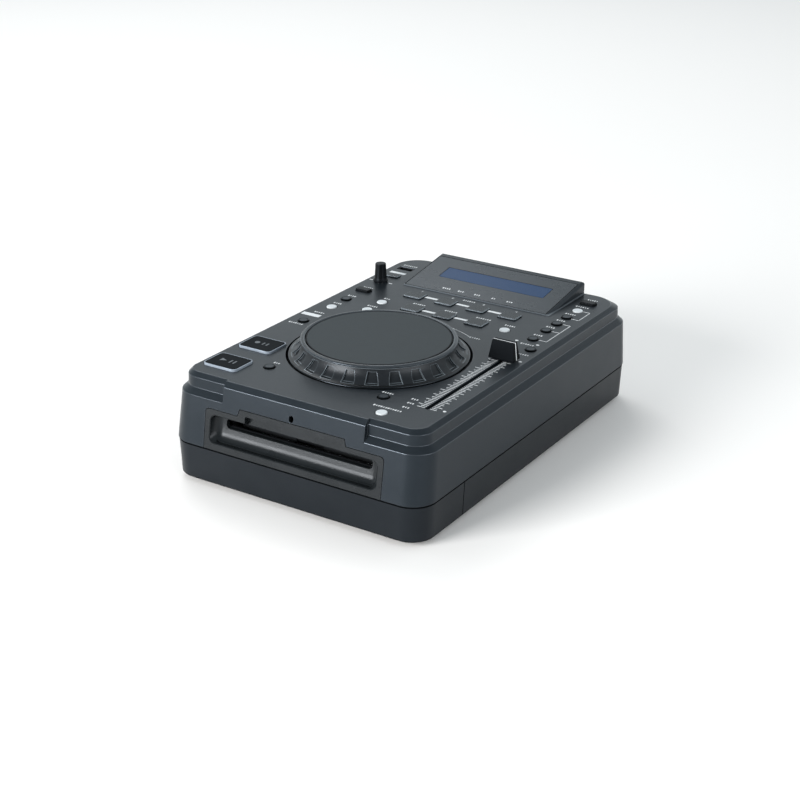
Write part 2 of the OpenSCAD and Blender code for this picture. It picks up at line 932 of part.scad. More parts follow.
module sled_rails() {
    color("#c3c7ca")
        for (x = [-rail_x, rail_x])
            translate([x, 0, rail_z])
                rotate([-90, 0, 0])
                    rod(rail_r, bearing_y[0], bearing_y[1] + 3);
}

module turntable_hub() {
    color("#2a2c2e")
        translate([0, spindle_y, 0]) {
            rod(1, deck_z - 6, deck_z + 6);
            rotate_extrude()
                polygon([
                    [0, disc_z - 5], [6, disc_z - 5], [6, disc_z - 3.2], [14.5, disc_z - 3.2],
                    [14.5, disc_z - 0.8], [7.4, disc_z - 0.8], [7.2, disc_z + 0.6],
                    [5.4, disc_z + 2.4], [0, disc_z + 2.4]
                ]);
            rod(2.5, deck_z + 4, disc_z - 4);
        }
}

module feed_roller() {
    color("#26282a")
        translate([0, roller_y, roller_z])
            rotate([0, 90, 0]) {
                rod(1.5, -deck_w / 2 - 3, deck_w / 2 + 3);
                rod(roller_r, 12, 60);
                rod(roller_r, -60, -12);
                rod(3.4, -12.01, 12.01);
            }
}

module laser_sled() {
    color("#6e7478")
        difference() {
            union() {
                block([-27, 27], [sled_y - 9, sled_y + 9], [rail_z - 3, rail_z + 3.4]);
                block([24, 37], [sled_y - 3, sled_y + 3], [rail_z - 3, rail_z + 3.4]);
                translate([0, sled_y, 0]) {
                    rod(7, rail_z + 3, rail_z + 5);
                    rod(2.6, rail_z + 4.9, rail_z + 6.4);
                }
            }
            for (x = [-rail_x, rail_x])
                translate([x, 0, rail_z])
                    rotate([-90, 0, 0])
                        rod(rail_r + 0.05, sled_y - 20, sled_y + 20);
            translate([screw_x, 0, rail_z])
                rotate([-90, 0, 0])
                    rod(screw_r + 0.3, sled_y - 20, sled_y + 20);
        }
}

module sled_screw() {
    color("#b0b4b8")
        translate([screw_x, 0, rail_z])
            rotate([-90, 0, 0]) {
                rod(screw_r, bearing_y[0] + 3.2, bearing_y[1] - 0.2);
                rod(journal_r, bearing_y[0], bearing_y[1] + 13);
            }
}

// ---------------------------------------------------------------- feet and screws

module feet() {
    color("#151617")
        for (p = foot_pos)
            translate([p[0], p[1], 0])
                difference() {
                    rotate_extrude()
                        polygon([[0, 0], [8.2, 0], [9, 0.8], [9, foot_h + 0.8], [0, foot_h + 0.8]]);
                    rod(5, -1, 0.8);
                }
}

module case_screws() {
    color("#2b2d30")
        for (p = post_pos)
            translate([p[0], p[1], 0])
                difference() {
                    union() {
                        rod(2.75, 15.6, 18);
                        rod(1.45, 17.9, seam_z + 16);
                    }
                    for (a = [0, 90])
                        rotate(a)
                            block([-1.7, 1.7], [-0.4, 0.4], [15, 16.8]);
                }
}

// ---------------------------------------------------------------- jog wheel

module jog_axle() {
    color("#c3c7ca")
        translate([0, jog_y, 0]) {
            rod(axle_r, well_z - wall - 1.8, jog_top_z - 5);
            rod(axle_r + 3, well_z - wall - 3.4, well_z - wall);
        }
}

function curve(a, b, c, t) = (1 - t) * (1 - t) * a + 2 * t * (1 - t) * b + t * t * c;

// Flared skirt of the wheel from its top ring down to its rim, moved by shift
function skirt(shift) = [
    for (t = [0:0.1:1])
        curve(
            [pad_r + 3.4, jog_top_z - 1.8], [pad_r + 5.2, rim_z + 4.4], [jog_r - 0.5, rim_z + 2.3], 1 - t
        ) + shift
];

module jog_wheel() {
    seat_z = jog_top_z - 2;
    color("#2c2f33")
        translate([0, jog_y, 0])
            difference() {
                rotate_extrude()
                    polygon([
                        [axle_r + 0.05, well_z + 0.6], [9, well_z + 0.6], [9, seat_z - 3],
                        [pad_r + 0.2, seat_z - 3], [pad_r + 1.8, seat_z - 5], [pad_r + 3.2, rim_z + 5],
                        [jog_r - 3, rim_z + 0.4], [jog_r - 2.4, rim_z],
                        [jog_r - 0.5, rim_z], [jog_r, rim_z + 0.5], [jog_r, rim_z + 1.8],
                        each skirt([0, 0]),
                        [pad_r + 4.2, jog_top_z - 1.1], [pad_r + 4.2, jog_top_z - 0.7],
                        [pad_r + 3.7, jog_top_z - 0.1], [pad_r + 2.8, jog_top_z + 0.3],
                        [pad_r + 1.8, jog_top_z + 0.4], [pad_r + 1, jog_top_z + 0.15],
                        [pad_r + 0.5, jog_top_z - 0.5], [pad_r + 0.5, seat_z], [axle_r + 0.05, seat_z]
                    ]);
                intersection() {
                    rotate_extrude()
                        polygon([
                            [jog_r + 2, rim_z + 2], each skirt([-1.2, -0.9]), [jog_r + 2, jog_top_z]
                        ]);
                    for (i = [0:jog_recesses - 1])
                        rotate(360 / jog_recesses * i - 61.9)
                            finger_recess();
                }
            }
}

// Wedge that cuts one finger recess: narrow at the top ring and wide at the rim
module finger_recess() {
    translate([pad_r, 0, 0])
        rotate([90, 0, 90])
            linear_extrude(jog_r - pad_r + 1)
                polygon([
                    [-4.8, rim_z + 3], [4.8, rim_z + 3], [3.2, jog_top_z - 4.2], [-3.2, jog_top_z - 4.2]
                ]);
}

module jog_pad() {
    top_z = jog_top_z;
    color("#4e5454")
        translate([0, jog_y, 0])
            rotate_extrude()
                polygon([
                    [0, top_z - 2], [pad_r, top_z - 2], [pad_r, top_z - 0.3],
                    [pad_r - 0.3, top_z], [0, top_z]
                ]);
}

// ---------------------------------------------------------------- browse knob

module browse_shaft() {
    color("#b9bcc0")
        translate([knob_x, knob_y, 0])
            rod(3, board_z + board_t + 1.2, panel_z + 11.3);
}

module browse_knob() {
    low = panel_z + 0.9;
    top = panel_z + 16.3;
    color("#1b1c1e")
        translate([knob_x, knob_y, 0])
            difference() {
                rotate_extrude()
                    polygon([
                        [3.05, low], [6.2, low], [6.2, low + 0.6], [5.5, low + 1.6], [5.05, low + 2.8],
                        [4.5, top - 0.9], [4.2, top - 0.2], [3.6, top],
                        [0, top], [0, panel_z + 11.3], [3.05, panel_z + 11.3]
                    ]);
                for (a = [0:24:336])
                    rotate(a)
                        translate([5.25, 0, 0])
                            rod(0.5, low + 3.4, top - 1.5);
            }
}

// ---------------------------------------------------------------- pitch fader

module pitch_fader_body() {
    y = [fader_slot_y[0] - 6, fader_slot_y[1] + 6];
    color("#7d8285")
        difference() {
            block([fader_x - 5.5, fader_x + 5.5], y, [board_z - 6, under_z]);
            block([fader_x - 1.6, fader_x + 1.6], fader_slot_y, [board_z - 3, under_z + 1]);
        }
}

module fader_cap() {
    low = panel_z + 1.1;
    top = panel_z + fader_h;
    color("#1b1c1e")
        translate([fader_x, fader_y_max, 0]) {
            difference() {
                hull() {
                    block([-10.5, 10.5], [-5.3, 5.3], [low, low + 0.8]);
                    block([-9, 9], [-2.7, 2.7], [top - 0.4, top]);
                }
                block([-20, 20], [-0.3, 0.3], [top - 0.5, top + 1]);
            }
            block([-stem_w / 2, stem_w / 2], [-stem_l / 2, stem_l / 2], [board_z, low + 0.01]);
        }
}

// ---------------------------------------------------------------- buttons

// Cap that stands rise above the panel, a flange below the panel and a stem to its switch
module round_cap(p, rise) {
    r = cap_d / 2;
    translate([p[0], p[1], 0])
        rotate_extrude()
            polygon([
                [0, stem_z], [1.6, stem_z], [1.6, flange_z], [r + 1.5, flange_z],
                [r + 1.5, flange_z + flange_t], [r, flange_z + flange_t],
                [r, panel_z + rise - 0.35], [r - 0.35, panel_z + rise], [0, panel_z + rise]
            ]);
}

module white_button(i) {
    color("#e6e8ea")
        round_cap(white_pos[i], white_rise);
}

module round_button(i) {
    color("#3d4045")
        round_cap(round_pos[i], round_rise);
}

module bar_cap(p, w, d, r, rise) {
    translate([p[0], p[1], 0]) {
        translate([0, 0, flange_z])
            linear_extrude(flange_t)
                rounded_rect(w + 2.2, d + 2.2, r);
        translate([0, 0, flange_z])
            linear_extrude(panel_z + rise - 0.4 - flange_z)
                rounded_rect(w, d, r);
        translate([0, 0, panel_z + rise - 0.5])
            linear_extrude(0.5)
                rounded_rect(w - 0.8, d - 0.8, r - 0.4);
        rod(1.8, stem_z, flange_z + eps);
    }
}

module square_key(x, y) {
    color("#6f767c")
        bar_cap([x, y], key_w, key_d, key_r, key_rise);
}

module usb_stop_key() {
    color("#6f767c")
        bar_cap(stop_pos, bar_w, bar_d, key_r, key_rise);
}

module source_button() {
    color("#1b1c1e")
        bar_cap(source_pos, bar_w, bar_d, key_r, bar_rise);
}

module power_button() {
    color("#1b1c1e")
        bar_cap(power_pos, bar_w, bar_d, key_r, bar_rise);
}

// Clear light guide of a big button, open on top for its dark cap
module light_guide(y) {
    color("#c3d0de")
        translate([big_x, y, 0]) {
            difference() {
                translate([0, 0, flange_z])
                    linear_extrude(panel_z + big_rise - flange_z)
                        rounded_rect(big_w, big_d, big_r);
                translate([0, 0, panel_z + big_rise - 1])
                    linear_extrude(2)
                        rounded_rect(big_w - 1.7, big_d - 1.7, big_r - 0.8);
            }
            translate([-1.3, -2.2, flange_z])
                linear_extrude(flange_t)
                    rounded_rect(big_w + 0.2, big_d - 1, big_r);
            rod(2.4, stem_z, flange_z + eps);
        }
}

module big_cap(y) {
    color("#1d2023")
        translate([big_x, y, panel_z + big_rise - 1])
            linear_extrude(1.2)
                rounded_rect(big_w - 2, big_d - 2, big_r - 0.9);
}

module cue_button() {
    light_guide(cue_y);
}

module cue_button_cap() {
    big_cap(cue_y);
}

module play_button() {
    light_guide(play_y);
}

module play_button_cap() {
    big_cap(play_y);
}

bottom_tray();
front_lower_cover();
upper_shell();
loader_bezel();
slot_felt();
display_hood();
display_plate();
lcd_module();
rear_panel();
rear_jacks();
mains_inlet();
usb_socket();
main_board();
control_board();
power_supply();
loader_chassis();
drive_motors();
sled_rails();
feet();
case_screws();
jog_axle();
pitch_fader_body();
jog_wheel();
jog_pad();
browse_shaft();
browse_knob();
fader_cap();
turntable_hub();
feed_roller();
laser_sled();
sled_screw();
cue_button();
cue_button_cap();
play_button();
play_button_cap();
square_key(hot_cue_x[0], hot_cue_y);  // hot_cue_key_1
square_key(hot_cue_x[1], hot_cue_y);  // hot_cue_key_2
square_key(hot_cue_x[2], hot_cue_y);  // hot_cue_key_3
square_key(hot_cue_x[3], hot_cue_y);  // hot_cue_key_4
square_key(loop_x[0], loop_y);  // loop_key_1
square_key(loop_x[1], loop_y);  // loop_key_2
square_key(loop_x[2], loop_y);  // loop_key_3
usb_stop_key();
source_button();
power_button();
white_button(0);  // white_button_1
white_button(1);  // white_button_2
white_button(2);  // white_button_3
white_button(3);  // white_button_4
white_button(4);  // white_button_5
white_button(5);  // white_button_6
round_button(0);  // round_button_1
round_button(1);  // round_button_2
round_button(2);  // round_button_3
round_button(3);  // round_button_4
round_button(4);  // round_button_5
round_button(5);  // round_button_6
round_button(6);  // round_button_7
round_button(7);  // round_button_8
round_button(8);  // round_button_9
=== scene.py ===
"""Tabletop disc player for DJ use: finishes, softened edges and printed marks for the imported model."""
import math

import bmesh
import bpy
from mathutils import Matrix, Vector


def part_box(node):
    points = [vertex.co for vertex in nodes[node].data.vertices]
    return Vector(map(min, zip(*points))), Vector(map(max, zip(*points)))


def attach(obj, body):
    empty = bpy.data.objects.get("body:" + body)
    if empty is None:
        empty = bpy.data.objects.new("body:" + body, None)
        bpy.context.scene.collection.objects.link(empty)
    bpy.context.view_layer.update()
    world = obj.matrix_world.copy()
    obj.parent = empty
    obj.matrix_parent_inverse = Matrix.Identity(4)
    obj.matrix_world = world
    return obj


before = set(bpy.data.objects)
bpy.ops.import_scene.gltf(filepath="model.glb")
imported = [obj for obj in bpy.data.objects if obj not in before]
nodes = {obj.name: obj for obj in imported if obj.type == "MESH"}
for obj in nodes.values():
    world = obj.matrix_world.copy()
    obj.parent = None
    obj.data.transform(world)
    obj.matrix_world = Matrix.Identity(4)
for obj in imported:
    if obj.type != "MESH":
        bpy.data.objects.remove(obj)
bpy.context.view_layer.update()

MM = 0.001                  # one millimetre in the frame's metres
METRE = 1000                # and one metre in millimetres: a noise's scale is its repeats in a metre


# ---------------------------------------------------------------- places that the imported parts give

def centre(name):
    """The middle of a part seen from above, in millimetres, to a tenth so that its facets don't shift it."""
    low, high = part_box(name)
    return round((low.x + high.x) / 2 / MM, 1), round((low.y + high.y) / 2 / MM, 1)


def top(name):
    """The height of a part's highest point in millimetres, to a tenth."""
    return round(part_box(name)[1].z / MM, 1)


def beside(name, right, back):
    """The point that lies so many millimetres to the right of a part's middle and further back."""
    x, y = centre(name)
    return x + right, y + back


PANEL_Z = top("upper_shell")
HOOD_FRONT_Y, HOOD_BACK_Y = (round(corner.y / MM, 1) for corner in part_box("display_hood"))
HOOD_FRONT_HIGH = 0.75      # the hood's height above the panel at its front, in millimetres
HOOD_RISE = 9.55            # and how much higher it is at its back


# ---------------------------------------------------------------- camera

CAMERA_AT = (606.36, -981.73, 530.43)      # millimetres
CAMERA_TURN = (32.22, 23.524, 0.501)       # to the left, down, and tilted to one side, in degrees
LENS, SENSOR = 72.09, 36.0                 # millimetres
NEAREST, FURTHEST = 0.05, 50.0             # metres


def aim_camera():
    """A long lens from the front right, looking down on the panel."""
    yaw, pitch, roll = (math.radians(angle) for angle in CAMERA_TURN)
    forward = Vector((-math.sin(yaw) * math.cos(pitch), math.cos(yaw) * math.cos(pitch), -math.sin(pitch)))
    level = Vector((math.cos(yaw), math.sin(yaw), 0.0))
    up = level.cross(forward)
    across = level * math.cos(roll) + up * math.sin(roll)
    upright = up * math.cos(roll) - level * math.sin(roll)
    data = bpy.data.cameras.new("camera")
    data.sensor_width = SENSOR
    data.lens = LENS
    data.clip_start = NEAREST
    data.clip_end = FURTHEST
    camera = bpy.data.objects.new("camera", data)
    turn = Matrix((across, upright, -forward)).transposed().to_4x4()
    camera.matrix_world = Matrix.Translation(Vector(CAMERA_AT) * MM) @ turn
    bpy.context.scene.collection.objects.link(camera)
    bpy.context.scene.camera = camera


aim_camera()


# ---------------------------------------------------------------- how finishes are made

def linear(code):
    """The linear RGBA of an sRGB hex colour."""
    parts = [int(code[i:i + 2], 16) / 255 for i in (1, 3, 5)]
    return tuple(c / 12.92 if c <= 0.04045 else ((c + 0.055) / 1.055) ** 2.4 for c in parts) + (1.0,)


def add(tree, kind, settings=None, inputs=None):
    """Adds a node with its settings, and gives each input a value or links it to another node's output."""
    made = tree.nodes.new(kind)
    for name, value in (settings or {}).items():
        setattr(made, name, value)
    for name, value in (inputs or {}).items():
        if isinstance(value, bpy.types.NodeSocket):
            tree.links.new(value, made.inputs[name])
        else:
            made.inputs[name].default_value = value
    return made


def blank(name):
    """A new material with only a surface shader, and the tree that it stands in."""
    material = bpy.data.materials.new(name)
    material.use_nodes = True
    tree = material.node_tree
    return material, tree, tree.nodes["Principled BSDF"]


# The colours of a mix are its inputs 6 and 7 and its output 2, because its plain numbers come before them
COLOURS = {"data_type": "RGBA"}
FIRST, SECOND, MIXED = 6, 7, 2

# Stretches a soft noise to clear patches with plain ground between them
PATCHES = {"From Min": 0.3, "From Max": 0.7}
POLISHED, DULLED = 0.03, 0.04                    # how far handling lowers and raises a surface's roughness


def moulded(name, colour, light, grain, depth, rough, gloss=0.5, cloud=26.0, tint="#e2eeff"):
    """Plastic or rubber from a mould, or a coat as even as that. Grain is the pitch of its fine texture,
    depth the height of that texture and cloud the size of the patches that handling leaves, all in
    millimetres. The patches are a little duller and have the colour light. Gloss is how strongly the surface
    shines, and tint the colour of that shine."""
    material, tree, shader = blank(name)
    place = add(tree, "ShaderNodeTexCoord").outputs["Object"]
    haze = add(tree, "ShaderNodeTexNoise", None, {
        "Vector": place, "Scale": METRE / cloud, "Detail": 3.0, "Roughness": 0.55})
    patch = haze.outputs["Fac"]
    tone = add(tree, "ShaderNodeMapRange", None, {"Value": patch, **PATCHES})
    mixed = add(tree, "ShaderNodeMix", COLOURS, {
        "Factor": tone.outputs["Result"], FIRST: linear(colour), SECOND: linear(light)})
    rub = add(tree, "ShaderNodeMapRange", None, {
        "Value": patch, **PATCHES, "To Min": rough - POLISHED, "To Max": rough + DULLED})
    speck = add(tree, "ShaderNodeTexNoise", None, {
        "Vector": place, "Scale": METRE / grain, "Detail": 2.0, "Roughness": 0.6})
    bump = add(tree, "ShaderNodeBump", None, {
        "Height": speck.outputs["Fac"], "Strength": 0.5, "Distance": depth * MM})
    tree.links.new(mixed.outputs[MIXED], shader.inputs["Base Color"])
    tree.links.new(rub.outputs["Result"], shader.inputs["Roughness"])
    tree.links.new(bump.outputs["Normal"], shader.inputs["Normal"])
    shader.inputs["Specular IOR Level"].default_value = gloss
    shader.inputs["Specular Tint"].default_value = linear(tint)
    return material


BRIGHT_SCRATCH, DULL_SCRATCH = 0.08, 0.1         # how far scratches lower and raise a metal's roughness
SCRATCH_LENGTH = 12.0                            # how many times longer than wide a scratch is


def metal(name, colour, rough, grain):
    """Plated or ground steel with fine level scratches, whose length is grain millimetres."""
    material, tree, shader = blank(name)
    place = add(tree, "ShaderNodeTexCoord").outputs["Object"]
    drawn = add(tree, "ShaderNodeMapping", None, {"Vector": place, "Scale": (1.0, 1.0, SCRATCH_LENGTH)})
    scratch = add(tree, "ShaderNodeTexNoise", None, {
        "Vector": drawn.outputs["Vector"], "Scale": METRE / grain, "Detail": 3.0})
    rub = add(tree, "ShaderNodeMapRange", None, {
        "Value": scratch.outputs["Fac"], "To Min": rough - BRIGHT_SCRATCH, "To Max": rough + DULL_SCRATCH})
    shader.inputs["Base Color"].default_value = linear(colour)
    shader.inputs["Metallic"].default_value = 1.0
    tree.links.new(rub.outputs["Result"], shader.inputs["Roughness"])
    return material


# ---------------------------------------------------------------- case finishes

# Case parts are ABS, moulded against steel that sparks have eroded to an even grain. It breaks reflections up
# into a broad, cool sheen. The real grain is about 0.1 mm, and here and below it is drawn coarser, to show.
CASE_ABS = {
    "colour": "#1a1f23", "light": "#1d2226", "grain": 0.55, "depth": 0.05, "rough": 0.31, "gloss": 0.20}
abs_case = moulded("spark_textured_ABS", **CASE_ABS)

# The same plastic on the hood, as a finish of its own because its foot is painted with a paler line, a
# painted highlight
abs_hood = moulded("spark_textured_ABS_hood", **CASE_ABS)

# The bezel of the slot is painted nearly black, darker than the case, as painted shade for the scoop round
# the slot, whose back wall lies in shade; its sheen is less blue
shaded_bezel_abs = moulded(
    "spark_textured_ABS_bezel", "#15181a", "#181b1d", grain=0.55, depth=0.05, rough=0.28, gloss=0.24,
    tint="#f2f5fa")

# The case's edges are painted paler than its faces, a painted highlight, and have a finer, glossier grain, so
# they show as thin light lines
case_edge_highlight = moulded(
    "spark_textured_ABS_edge", "#2a2e32", "#2f3337", grain=0.55, depth=0.02, rough=0.22, gloss=0.5)

# The lower half is a moulding of its own with a duller texture and less sheen; its colour is painted darker
# than the upper one's as painted shade, because its walls face less of the light
shaded_lower_abs = moulded(
    "spark_textured_ABS_lower", "#16191c", "#191c1f", grain=0.55, depth=0.05, rough=0.36, gloss=0.16)

# The plate round the display is moulded against finely blasted steel: a satin face with a tighter shine
abs_plate = moulded("satin_ABS_plate", "#1b2125", "#1e2428", grain=0.35, depth=0.02, rough=0.28, gloss=0.26)

# Sheet steel with baked powder paint, on the rear panel and the screws: black with a slight orange-peel gleam
black_paint = moulded("black_powder_paint", "#191a1c", "#1f2022", grain=0.5, depth=0.05, rough=0.5, gloss=0.5)

# Moulded rubber, on the feet and the feed roller: a dull black that reflects next to nothing
foot_rubber = moulded("foot_rubber", "#121314", "#1a1b1c", grain=0.6, depth=0.08, rough=0.75, gloss=0.3)

# Pressed felt scatters what little light gets in: deep black, and fibrous instead of smooth
felt = moulded("dust_felt", "#101113", "#18191b", grain=0.3, depth=0.2, rough=0.95, gloss=0.1, cloud=2.0)

# Painted shade: an edge that turns down into a gap gets no light, so its bevel is coloured near black and the
# joint shows as a fine black line
gap_painted_shade = moulded("shadow_black_ABS", "#020303", "#040505", grain=0.3, depth=0.01, rough=0.6, gloss=0.03)


# ---------------------------------------------------------------- finishes of the controls

# The wheel is satin ABS: a neutral black with a soft highlight along its rim
abs_wheel = moulded(
    "satin_ABS_wheel", "#171a1d", "#1a1d20", grain=0.35, depth=0.02, rough=0.34, gloss=0.27, tint="#eef2f8")

# A painted highlight colours the edges of its recesses grey, so each one is outlined in grey
wheel_edge_painted_light = moulded(
    "satin_ABS_wheel_edge", "#303539", "#363b3f", grain=0.35, depth=0.01, rough=0.24, gloss=0.4)

# The pad is soft moulded rubber: an even dark grey, dull, with faint blotches where fingers have rested
pad_rubber = moulded(
    "soft_pad_rubber", "#303537", "#373c3e", grain=0.5, depth=0.05, rough=0.62, gloss=0.15, cloud=9.0)

# Moulded nylon, on the mains inlet and the turntable hub: satin black, a little waxy
black_nylon = moulded(
    "satin_black_nylon", "#0e0f10", "#131415", grain=0.4, depth=0.03, rough=0.38, gloss=0.35)

# The knob and the bar buttons are small ABS mouldings: black with a faint satin highlight
black_knob = moulded("satin_black_ABS", "#060708", "#090a0b", grain=0.3, depth=0.02, rough=0.4, gloss=0.12)

# The fader's cap is moulded matt for grip, so its slopes stay black under the lamps
black_fader = moulded("matt_black_ABS", "#0a0c0e", "#0c0e10", grain=0.3, depth=0.02, rough=0.55, gloss=0.04)

# The two big caps are smoked ABS over a light guide: deep black while the lamp below is off
black_cap = moulded("smoked_black_ABS", "#0a0e12", "#0d1115", grain=0.3, depth=0.004, rough=0.45, gloss=0.02)

# The guide is moulded in clear acrylic, which pipes light up to its rim: a pale blue-grey frame round the cap
guide_clear = moulded(
    "clear_blue_tinted_acrylic", "#838c97", "#8f98a3", grain=0.4, depth=0.01, rough=0.2, gloss=0.5, cloud=5.0)

# The keys are smoked polycarbonate: near black, mottled by what little shows through
key_smoked = moulded(
    "smoked_polycarbonate_key", "#101416", "#1b2023", grain=0.4, depth=0.02, rough=0.26, gloss=0.18,
    cloud=6.0)

# Light gathers where polycarbonate ends, so the edges of the keys are pale grey lines
key_edge = moulded(
    "smoked_polycarbonate_edge", "#747c82", "#7e868c", grain=0.4, depth=0.01, rough=0.26, gloss=0.4,
    cloud=6.0)

# The dark round caps are satin ABS, a shade paler than the panel
cap_grey = moulded("satin_grey_ABS_cap", "#22282d", "#262c31", grain=0.4, depth=0.02, rough=0.34, gloss=0.16)

# The pale round caps are acrylic with white filler that spreads the lamp's light: an even off-white
white_cap = moulded(
    "diffusing_white_acrylic", "#c4c9cc", "#cdd1d4", grain=0.4, depth=0.01, rough=0.4, gloss=0.3)


# ---------------------------------------------------------------- finishes of print, boards and metal

# Ink pressed through a screen dries to a flat, opaque film: crisp off-white marks with little shine
ink_white = moulded("white_screen_ink", "#d6d9db", "#dee0e2", grain=0.3, depth=0.01, rough=0.55, gloss=0.3)

# Words are printed with thinner ink, which is a touch less bright
ink_pale = moulded("pale_screen_ink", "#d4d7d9", "#dcdee0", grain=0.3, depth=0.01, rough=0.55, gloss=0.2)

# The signs on the big caps are printed in grey, which stays quiet on their black
ink_grey = moulded("grey_screen_ink", "#55595d", "#5f6367", grain=0.3, depth=0.01, rough=0.5, gloss=0.3)

# Solder mask is a green lacquer over copper tracks about 2 mm apart, which show through it as a slight ripple
board = moulded("green_solder_mask", "#123c28", "#17462f", grain=2.0, depth=0.03, rough=0.4, gloss=0.5)

# The transformer is a stack of steel sheets dipped in varnish: a yellowish brown, uneven with runs
laminations = moulded(
    "varnished_laminations", "#6d5a2c", "#7a6633", grain=0.8, depth=0.08, rough=0.45, gloss=0.5)

# Nickel plated on brass: warm and bright, on the phono sockets
nickel = metal("nickel_plate", "#c9c6bf", rough=0.22, grain=0.8)

# Blackened nickel in the USB socket: a dark glint deep in the opening
dark_nickel = metal("blackened_nickel_plate", "#232426", rough=0.4, grain=0.8)

# Zinc plated on folded sheet: a cool grey that is cloudy rather than bright
zinc = metal("zinc_plated_sheet", "#a9adb0", rough=0.38, grain=1.2)

# Ground steel, on shafts and rails: bright, with the fine lines that grinding leaves
ground = metal("ground_steel", "#c2c4c6", rough=0.2, grain=0.6)

# A liquid-crystal display is a deep blue film with clear dots behind glass: while off, they barely show
DOT_PITCH = 0.6             # millimetres
DOT_GAP = 0.1
FILM_BLUE, DOT_BLUE = "#0a2d50", "#0e345a"


def display_panel():
    """The unlit display, with its grid of dots."""
    material, tree, shader = blank("unlit_blue_display")
    place = add(tree, "ShaderNodeTexCoord").outputs["Object"]
    split = add(tree, "ShaderNodeSeparateXYZ", None, {"Vector": place})
    inside = []
    for axis in ("X", "Y"):
        wave = add(tree, "ShaderNodeMath", {"operation": "PINGPONG"}, {
            0: split.outputs[axis], 1: DOT_PITCH / 2 * MM})
        clear = add(tree, "ShaderNodeMath", {"operation": "GREATER_THAN"}, {
            0: wave.outputs[0], 1: DOT_GAP / 2 * MM})
        inside.append(clear.outputs[0])
    dots = add(tree, "ShaderNodeMath", {"operation": "MULTIPLY"}, {0: inside[0], 1: inside[1]})
    mixed = add(tree, "ShaderNodeMix", COLOURS, {
        "Factor": dots.outputs[0], FIRST: linear(FILM_BLUE), SECOND: linear(DOT_BLUE)})
    tree.links.new(mixed.outputs[MIXED], shader.inputs["Base Color"])
    shader.inputs["Roughness"].default_value = 0.25
    shader.inputs["Specular IOR Level"].default_value = 0.12
    return material


display_blue = display_panel()


# ---------------------------------------------------------------- shade and highlights painted over a finish

def cover(tree, mask, colour):
    """Covers the base colour of a finish with another one where the mask is 1."""
    shader = tree.nodes["Principled BSDF"]
    below = shader.inputs["Base Color"].links[0].from_socket
    both = add(tree, "ShaderNodeMix", COLOURS, {"Factor": mask, FIRST: below, SECOND: linear(colour)})
    tree.links.new(both.outputs[MIXED], shader.inputs["Base Color"])


def dip(material, height, colour):
    """Gives a finish another colour up to that many millimetres above the panel."""
    tree = material.node_tree
    place = add(tree, "ShaderNodeTexCoord").outputs["Object"]
    split = add(tree, "ShaderNodeSeparateXYZ", None, {"Vector": place})
    low = add(tree, "ShaderNodeMath", {"operation": "LESS_THAN"}, {
        0: split.outputs["Z"], 1: (PANEL_Z + height) * MM})
    cover(tree, low.outputs[0], colour)


def darken_rim(material, middle, radius, colour):
    """Gives a round part's finish another colour beyond that many millimetres from its middle."""
    tree = material.node_tree
    place = add(tree, "ShaderNodeTexCoord").outputs["Object"]
    flat = add(tree, "ShaderNodeMapping", None, {
        "Vector": place, "Location": (-middle[0] * MM, -middle[1] * MM, 0.0), "Scale": (1.0, 1.0, 0.0)})
    reach = add(tree, "ShaderNodeVectorMath", {"operation": "LENGTH"}, {0: flat.outputs["Vector"]})
    rim = add(tree, "ShaderNodeMath", {"operation": "GREATER_THAN"}, {
        0: reach.outputs["Value"], 1: radius * MM})
    cover(tree, rim.outputs[0], colour)


PAD_RADIUS = 53.8           # where the pad rolls over into the groove round it, which is in the shade
PAD_SHADE = "#020303"

# Painted shade and painted highlights near the panel: the finish, up to how many millimetres above the panel,
# and the colour painted there
PAINTED_NEAR_PANEL = (
    (cap_grey, 0.95, "#010202"),        # the foot of a round cap is in the shade of its hole
    (wheel_edge_painted_light, 11.2, "#60676c"),      # painted highlight: the recesses' lower edges are paler than their tops
    (wheel_edge_painted_light, 1.4, "#07090a"),       # the foot of the wheel is in the shade of its well
    (abs_wheel, 1.4, "#07090a"),
    (abs_hood, 0.8, "#565c61"),         # painted highlight: the foot of the hood shows as a paler line where it catches the light
)

darken_rim(pad_rubber, centre("jog_wheel"), PAD_RADIUS, PAD_SHADE)
for finish, height, colour in PAINTED_NEAR_PANEL:
    dip(finish, height, colour)


# ---------------------------------------------------------------- what each part is made of

# A part that belongs to a row, such as loop_key_2, is listed under the name of its row
FINISHES = {
    "upper_shell": abs_case, "loader_bezel": shaded_bezel_abs, "display_hood": abs_hood, "display_plate": abs_plate,
    "bottom_tray": shaded_lower_abs, "front_lower_cover": shaded_lower_abs, "slot_felt": felt, "lcd_module": display_blue,
    "rear_panel": black_paint, "rear_jacks": nickel, "mains_inlet": black_nylon, "usb_socket": dark_nickel,
    "main_board": board, "control_board": board, "power_supply": laminations, "loader_chassis": zinc,
    "drive_motors": zinc, "laser_sled": zinc, "sled_rails": ground, "sled_screw": ground,
    "turntable_hub": black_nylon, "feed_roller": foot_rubber, "feet": foot_rubber,
    "case_screws": black_paint,
    "jog_wheel": abs_wheel, "jog_pad": pad_rubber, "jog_axle": ground,
    "fader_cap": black_fader, "pitch_fader_body": zinc, "browse_knob": black_knob, "browse_shaft": ground,
    "cue_button": guide_clear, "cue_button_cap": black_cap,
    "play_button": guide_clear, "play_button_cap": black_cap,
    "hot_cue_key": key_smoked, "loop_key": key_smoked, "usb_stop_key": key_smoked,
    "white_button": white_cap, "round_button": cap_grey,
    "source_button": black_knob, "power_button": black_knob,
}

CORNER = 18.0               # faces that meet at more than this many degrees meet at an edge
KEY_CORNER = 30.0           # the same for keys and round caps, whose corners have coarser facets
